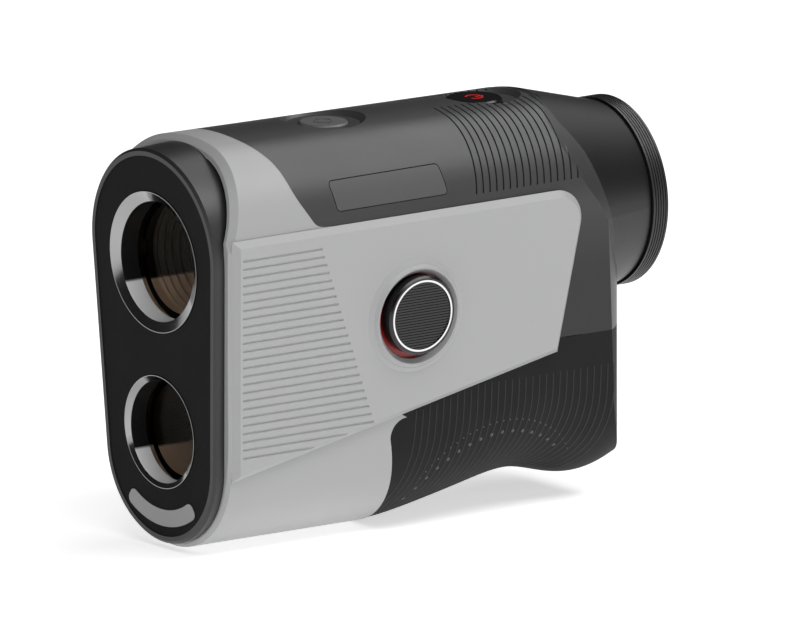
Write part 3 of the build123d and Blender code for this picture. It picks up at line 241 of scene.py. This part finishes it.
# %% Finishes inside
dress(finish("black_anodised_barrel", "2A2522", 0.25, 0.8, mottle=0.1), "objective_barrel", "emitter_barrel",
      "objective_retainer", "eyepiece_tube")
dress(finish("glass_filled_nylon", "141414", 0.6, grain_mm=0.4, grain_depth=0.01),
      "front_bulkhead", "mid_bulkhead", "prism_cage", "battery_tube", "battery_cap")
dress(finish("nitrile_seal", "141414", 0.6, grain_mm=0.3, grain_depth=0.005), "cap_seal")
dress(finish("zinc_plated_steel", "B8B8B4", 0.3, 1.0),
      "board_screws", "cage_screws", "laser_module", "receiver_sensor")
dress(finish("green_solder_mask", "0E4A26", 0.35, mottle=0.15), "main_board", "button_board", "switch_board",
      "receiver_board", "emitter_board")
dress(finish("moulded_epoxy_package", "1C1C1C", 0.55, grain_mm=0.2, grain_depth=0.005),
      "main_chips", "tact_switches", "slide_switch")
dress(finish("printed_cell_sleeve", "1D3E6E", 0.3, mottle=0.05), "battery")
dress(finish("plated_brass_contact", "C9A55A", 0.25, 1.0), "battery_contact")

# %% [markdown]
# ## Lens rings and glass
# The bores are polished metal. Such a wall mirrors a dark room above and a white
# table below, and the two meet in a sharp horizon. Light cannot be followed down
# a closed tube like that, so that reflection is painted: a ramp on height paints the
# wall colour white below one level of each bore and dark above it. The painted
# reflection stays at that level however the part is turned.

# %% Polished bores with a painted reflection
def height_ramp(material, steps, roughness, metallic):
    """Colours a material by height: steps are (height in mm, sRGB hex) from the bottom up."""
    low, high = steps[0][0] - 1, steps[-1][0] + 1
    tree = material.node_tree
    place = add(tree, "ShaderNodeTexCoord")
    split = add(tree, "ShaderNodeSeparateXYZ", {"Vector": place.outputs["Object"]})
    level = add(tree, "ShaderNodeMapRange",
                {"Value": split.outputs["Z"], "From Min": low * MM, "From Max": high * MM})
    ramp = add(tree, "ShaderNodeValToRGB", {"Fac": level.outputs["Result"]})
    ramp.color_ramp.interpolation = "LINEAR"
    while len(ramp.color_ramp.elements) < len(steps):
        ramp.color_ramp.elements.new(0.5)
    for element, (height, colour) in zip(ramp.color_ramp.elements, steps):
        element.position = (height - low) / (high - low)
        element.color = shade(colour)
    shader = tree.nodes["Principled BSDF"]
    tree.links.new(ramp.outputs["Color"], shader.inputs["Base Color"])
    shader.inputs["Roughness"].default_value = roughness
    shader.inputs["Metallic"].default_value = metallic
    return material


def new_material(name):
    """An empty Principled material."""
    material = bpy.data.materials.new(name)
    material.use_nodes = True
    return material


# painted reflection: white below each bore's horizon and dark above it; the objective bore's horizon lies near
# -5.5 mm and the emitter bore's near -36.5 mm
BORE_PAINTED_REFLECTION_STEPS = [(-42, "FFFFFF"), (-36.6, "FFFFFF"), (-36.3, "1E1E1E"), (-16, "1E1E1E"), (-15.8, "FFFFFF"),
              (-5.6, "FFFFFF"), (-5.3, "1E1E1E"), (12, "181818")]
BARREL_PAINTED_REFLECTION_STEPS = [(-42, "FFFAF4"), (-36.6, "FFFAF4"), (-36.3, "221E1A"), (-16, "221E1A"), (-15.8, "FFFAF4"),
              (-5.6, "FFFAF4"), (-5.3, "221E1A"), (12, "1E1A17")]
bore_painted_reflection = height_ramp(new_material("nickel_bore_painted_reflection"), BORE_PAINTED_REFLECTION_STEPS, 0.25, 0.0)
barrel_painted_reflection = height_ramp(new_material("barrel_wall_painted_reflection"), BARREL_PAINTED_REFLECTION_STEPS, 0.3, 0.2)
nickel = finish("turned_nickel_ring", "9A9A9A", 0.12, 1.0, mottle=0.02)


def dress_faces(name, material, test):
    """Gives a second material to the faces of a CAD node that pass a test on (centre, normal)."""
    data = nodes[name].data
    data.materials.append(material)
    slot = len(data.materials) - 1
    chosen = [face for face in data.polygons if test(face.center / MM, face.normal)]
    for face in chosen:
        face.material_index = slot
    print(material.name, "on", len(chosen), "faces of", name)


dress(nickel, "objective_ring", "emitter_ring")
# the inner walls of both rings take the painted reflection
for ring, height in (("objective_ring", 0.0), ("emitter_ring", -31.8)):
    dress_faces(ring, bore_painted_reflection, lambda c, n: abs(n.y) < 0.05 and n.x * c.x + n.z * (c.z - height) < 0)
# the barrel walls behind the glass take the same painted reflection, tinted warm
for barrel in ("objective_barrel", "emitter_barrel", "objective_retainer"):
    dress_faces(barrel, barrel_painted_reflection, lambda c, n: abs(n.y) < 0.8)


# %% Glass
def glass(name, colour, index):
    """Polished glass; a low index stands for an anti-reflection coating."""
    return finish(name, colour, 0.01, mottle=0.01, Transmission_Weight=1.0, IOR=index)


dress(glass("coated_crown_glass", "D8C8B8", 1.08), "objective_lens", "emitter_lens")
dress(glass("clear_flint_glass", "E6ECEE", 1.3), "eye_lens", "reticle", "front_prism", "rear_prism")

# %% [markdown]
# ## Rubber behind the crease
# The upper shell is bare plastic up to a crease near the tail. Behind it the same
# rubber as the grip wraps the body, so those faces take the grip's material.

# %% Rubber tail and label edge
CREASE = [(-60.0, 89.2), (-4.0, 89.5), (1.0, 88.1), (6.0, 86.4), (12.6, 84.3), (17.7, 81.5), (40.0, 81.5)]


def zone_behind_crease(material, colour):
    """Paints one colour behind the crease and low on the shell: a ramp on height holds the crease."""
    near, far = 80.0, 90.0
    floor_z, roof_z = CREASE[0][0], CREASE[-1][0]
    tree = material.node_tree
    place = add(tree, "ShaderNodeTexCoord")
    split = add(tree, "ShaderNodeSeparateXYZ", {"Vector": place.outputs["Object"]})
    height = add(tree, "ShaderNodeMapRange", {"Value": split.outputs["Z"], "From Min": floor_z * MM,
                                              "From Max": roof_z * MM})
    ramp = add(tree, "ShaderNodeValToRGB", {"Fac": height.outputs["Result"]})
    while len(ramp.color_ramp.elements) < len(CREASE):
        ramp.color_ramp.elements.new(0.5)
    for element, (z, y) in zip(ramp.color_ramp.elements, CREASE):
        element.position = (z - floor_z) / (roof_z - floor_z)
        element.color = [(y - near) / (far - near)] * 3 + [1]
    depth = add(tree, "ShaderNodeMapRange",
                {"Value": split.outputs["Y"], "From Min": near * MM, "From Max": far * MM})
    behind = add(tree, "ShaderNodeMath", {0: depth.outputs["Result"], 1: ramp.outputs["Color"]},
                 operation="GREATER_THAN")
    # below 10 mm the shell colour also darkens smoothly towards the bottom, reaching the rubber colour at -8
    # mm
    blend_top, blend_foot = 10 * MM, -8 * MM
    below = add(tree, "ShaderNodeMapRange", {"Value": split.outputs["Z"], "From Min": blend_top,
                                             "From Max": blend_foot})
    both = add(tree, "ShaderNodeMath", {0: behind.outputs["Value"], 1: below.outputs["Result"]},
               operation="MAXIMUM")
    shader = tree.nodes["Principled BSDF"]
    before = shader.inputs["Base Color"].links[0].from_socket
    tint = add(tree, "ShaderNodeMix", data_type="RGBA")
    tree.links.new(both.outputs["Value"], tint.inputs["Factor"])
    tint.inputs["B"].default_value = shade(colour)
    tree.links.new(before, tint.inputs["A"])
    tree.links.new(tint.outputs["Result"], shader.inputs["Base Color"])


zone_behind_crease(nodes["upper_case"].data.materials[0], "080809")
dress_faces("label_plate", rubber, lambda c, n: n.x < 0.5)

# %% [markdown]
# ## Moulded detail on the grip
# Ribs and pips are moulded into the rubber. Each is laid on the real surface: a
# ray finds the grip at every step, and the profile stands on the normal there.

# %% Reading the CAD surface
def surface_of(*names):
    """A search tree over some CAD nodes, to lay detail on."""
    points, faces = [], []
    for name in names:
        start = len(points)
        points += [v.co.copy() for v in nodes[name].data.vertices]
        faces += [[start + i for i in face.vertices] for face in nodes[name].data.polygons]
    return BVHTree.FromPolygons(points, faces)


def piece(name, mesh, material, body):
    """Turns a bmesh into a shown piece that rides a body."""
    bmesh.ops.recalc_face_normals(mesh, faces=mesh.faces)
    data = bpy.data.meshes.new(name)
    mesh.to_mesh(data)
    mesh.free()
    data.materials.append(material)
    made = bpy.data.objects.new(name, data)
    scene.collection.objects.link(made)
    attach(made, body)
    print(name, len(data.polygons), "faces")
    return made


# %% Ribs round the grip
RIB_PITCH, RIB_WIDTH, RIB_PROUD, RIB_SUNK = 1.55, 0.42, 0.07, 0.1
RIB_FIRST, RIB_LAST = 45.0, 92.0
RIB_SWEEP = 10.0
RIB_STEPS = 36
RIB_START_TURN, RIB_TURN = -8, 82
RIB_BREAK = 6.0
RAY_START = 60.0
BELLY_HUB = -30.0
# the grip comes first, so a face number past its own means that something covers it there
grip_surface = surface_of("lower_grip", "front_housing", "side_panel_left", "side_panel_right", "upper_case")
GRIP_FACES = len(nodes["lower_grip"].data.polygons)


def rib_point(start, turn, side):
    """A rib starts upright on the side, turns under the belly and sweeps forward as it goes."""
    angle = math.radians(turn)
    forward = RIB_SWEEP * (max(0, turn) / 90) ** 2.2
    out = Vector((side * math.cos(angle), 0, -math.sin(angle)))
    hub = Vector((0, start - forward, BELLY_HUB)) * MM
    return grip_surface.ray_cast(hub + out * RAY_START * MM, -out)


def lay_rib(mesh, start, side):
    """One rib: a low ridge of three corners on the surface, carried along its path."""
    last = None
    for step in range(RIB_STEPS):
        turn = RIB_START_TURN + RIB_TURN * step / (RIB_STEPS - 1)
        place, normal, face, distance = rib_point(start, turn, side)
        if place is None or face >= GRIP_FACES:
            if last:
                mesh.faces.new(last[::-1])
            last = None
            continue
        taper = math.sin(math.pi * min(1, (step + 1) / 4, (RIB_STEPS - step) / 6) / 2)
        across = Vector((0, RIB_WIDTH / 2 * MM, 0))
        sunk = normal * RIB_SUNK * MM
        crest = normal * (RIB_PROUD * taper) * MM
        ring = [mesh.verts.new(place + offset) for offset in (-across - sunk, crest - across * 0.4,
                                                             crest + across * 0.4, across - sunk)]
        if last and (ring[0].co - last[0].co).length < RIB_BREAK * MM:
            for a in range(4):
                mesh.faces.new((last[a], last[(a + 1) % 4], ring[(a + 1) % 4], ring[a]))
        elif last:
            mesh.faces.new(last[::-1])
            mesh.faces.new(ring)
        else:
            mesh.faces.new(ring)
        last = ring
    if last:
        mesh.faces.new(last[::-1])


ribs = bmesh.new()
for side in (-1, 1):
    for count in range(int((RIB_LAST - RIB_FIRST) / RIB_PITCH)):
        lay_rib(ribs, RIB_FIRST + count * RIB_PITCH, side)
piece("grip_ribs", ribs, finish("worn_tpe_rib", "0F0F10", 0.6, grain_mm=0.4, grain_depth=0.01, mottle=0.05),
      "case")

# %% Pips in two arcs
pip_rubber = finish("polished_tpe_pip", "3A3A3B", 0.35, mottle=0.03)


def lay_pip(mesh, place, normal, radius):
    """A low dome, most of it above the surface."""
    turn = normal.to_track_quat("Z", "Y").to_matrix().to_4x4()
    flat = Matrix.Diagonal((1, 1, 0.5, 1))
    bmesh.ops.create_icosphere(mesh, subdivisions=1, radius=radius * MM,
                               matrix=Matrix.Translation(place) @ turn @ flat)


def arc_of_pips(mesh, count, first, middle, last, radius):
    """Pips spaced evenly on the circle through three (back, height) points, on both sides."""
    (ay, az), (by, bz), (cy, cz) = first, middle, last
    d = 2 * (ay * (bz - cz) + by * (cz - az) + cy * (az - bz))
    hub_y = ((ay**2 + az**2) * (bz - cz) + (by**2 + bz**2) * (cz - az) + (cy**2 + cz**2) * (az - bz)) / d
    hub_z = ((ay**2 + az**2) * (cy - by) + (by**2 + bz**2) * (ay - cy) + (cy**2 + cz**2) * (by - ay)) / d
    reach = math.hypot(ay - hub_y, az - hub_z)
    start, end = math.atan2(az - hub_z, ay - hub_y), math.atan2(cz - hub_z, cy - hub_y)
    for side in (-1, 1):
        for index in range(count):
            angle = start + (end - start) * index / (count - 1)
            y, z = hub_y + reach * math.cos(angle), hub_z + reach * math.sin(angle)
            place, normal, face, distance = grip_surface.ray_cast(Vector((side * RAY_START, y, z)) * MM,
                                                                  Vector((-side, 0, 0)))
            if place is not None and face < GRIP_FACES:
                lay_pip(mesh, place, normal, radius)


# count, three (back, height) points that the arc passes through, radius of a pip
PIP_ARCS = [(27, (47.9, -43.9), (69.2, -35.3), (82.9, -43.2), 0.2),
            (16, (46.5, -48.0), (68.0, -37.4), (79.5, -42.0), 0.42)]
pips = bmesh.new()
for arc in PIP_ARCS:
    arc_of_pips(pips, *arc)
piece("grip_pips", pips, pip_rubber, "case")

# %% [markdown]
# ## Icons on the two buttons
# Both icons are the common ones: a broken ring with a bar for power, and a plain
# target for the mode button.

# %% Icons
def flat_arc(mesh, centre, radius, width, proud, start=0.0, sweep=360.0, steps=36):
    """A raised arc with a rectangular section, spun about the vertical through its centre."""
    section = [Vector((radius + a * width / 2, 0, b)) for a, b in ((-1, 0), (1, 0), (1, proud), (-1, proud))]
    turn = Matrix.Rotation(math.radians(start), 4, "Z")
    corners = [mesh.verts.new(centre + (turn @ p)) for p in section]
    face = mesh.faces.new(corners)
    bmesh.ops.spin(mesh, geom=[face] + list(face.edges) + corners, cent=centre, axis=(0, 0, 1),
                   angle=math.radians(sweep), steps=steps)


def bar(mesh, centre, length, width, proud, turn=0.0):
    """A raised bar with rounded edges, lying along Y and turned about the vertical."""
    place = Matrix.Translation(centre) @ Matrix.Rotation(math.radians(turn), 4, "Z")
    made = bmesh.ops.create_cube(mesh, size=1, matrix=place @ Matrix.Diagonal((width, length, proud, 1)))
    edges = list({e for v in made["verts"] for e in v.link_edges})
    bmesh.ops.bevel(mesh, geom=edges, offset=min(width, proud) * 0.2, segments=2, profile=0.5, affect="EDGES",
                    material=-1)


def button_top(name):
    """The middle of a button's upper surface."""
    low_corner, high_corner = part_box(name)
    middle = (low_corner + high_corner) / 2
    tree = surface_of(name)
    place, normal, face, distance = tree.ray_cast(Vector((middle.x, middle.y, high_corner.z + 0.01)),
                                                  Vector((0, 0, -1)))
    return place


# sizes in mm: each icon starts a little below the surface, and its height counts from there
POWER_SUNK, POWER_RADIUS, POWER_LINE, POWER_PROUD, POWER_BAR = 0.03, 1.5, 0.42, 0.09, 1.7
POWER_BAR_PLACE = Vector((0, 1.1, 0.03))
POWER_GAP_START, POWER_SWEEP = -55, 290
MODE_SUNK, MODE_RADIUS, MODE_LINE, MODE_PROUD, MODE_TICK = 0.05, 1.6, 0.3, 0.15, 1.1
MODE_TICK_PLACE = Vector((0, 1.7, 0.07))
MODE_SWEEP = 350

red_print = finish("red_pad_print", "D01010", 0.45, mottle=0.02)
power_top = button_top("power_button") - Vector((0, 0, POWER_SUNK)) * MM
power_icon = bmesh.new()
flat_arc(power_icon, power_top, POWER_RADIUS * MM, POWER_LINE * MM, POWER_PROUD * MM,
         start=POWER_GAP_START, sweep=POWER_SWEEP)
bar(power_icon, power_top + POWER_BAR_PLACE * MM, POWER_BAR * MM, POWER_LINE * MM, 0.1 * MM)
piece("power_icon", power_icon, red_print, "power_button_body")

mode_top = button_top("mode_button") - Vector((0, 0, MODE_SUNK)) * MM
mode_icon = bmesh.new()
flat_arc(mode_icon, mode_top, MODE_RADIUS * MM, MODE_LINE * MM, MODE_PROUD * MM, sweep=MODE_SWEEP)
for quarter in range(4):
    turn = Matrix.Rotation(math.radians(90 * quarter), 4, "Z")
    bar(mode_icon, mode_top + (turn @ MODE_TICK_PLACE) * MM, MODE_TICK * MM, MODE_LINE * MM, 0.14 * MM,
        90 * quarter)
piece("mode_icon", mode_icon, finish("embossed_grey_abs", "5A5A5B", 0.4, mottle=0.02), "mode_button_body")
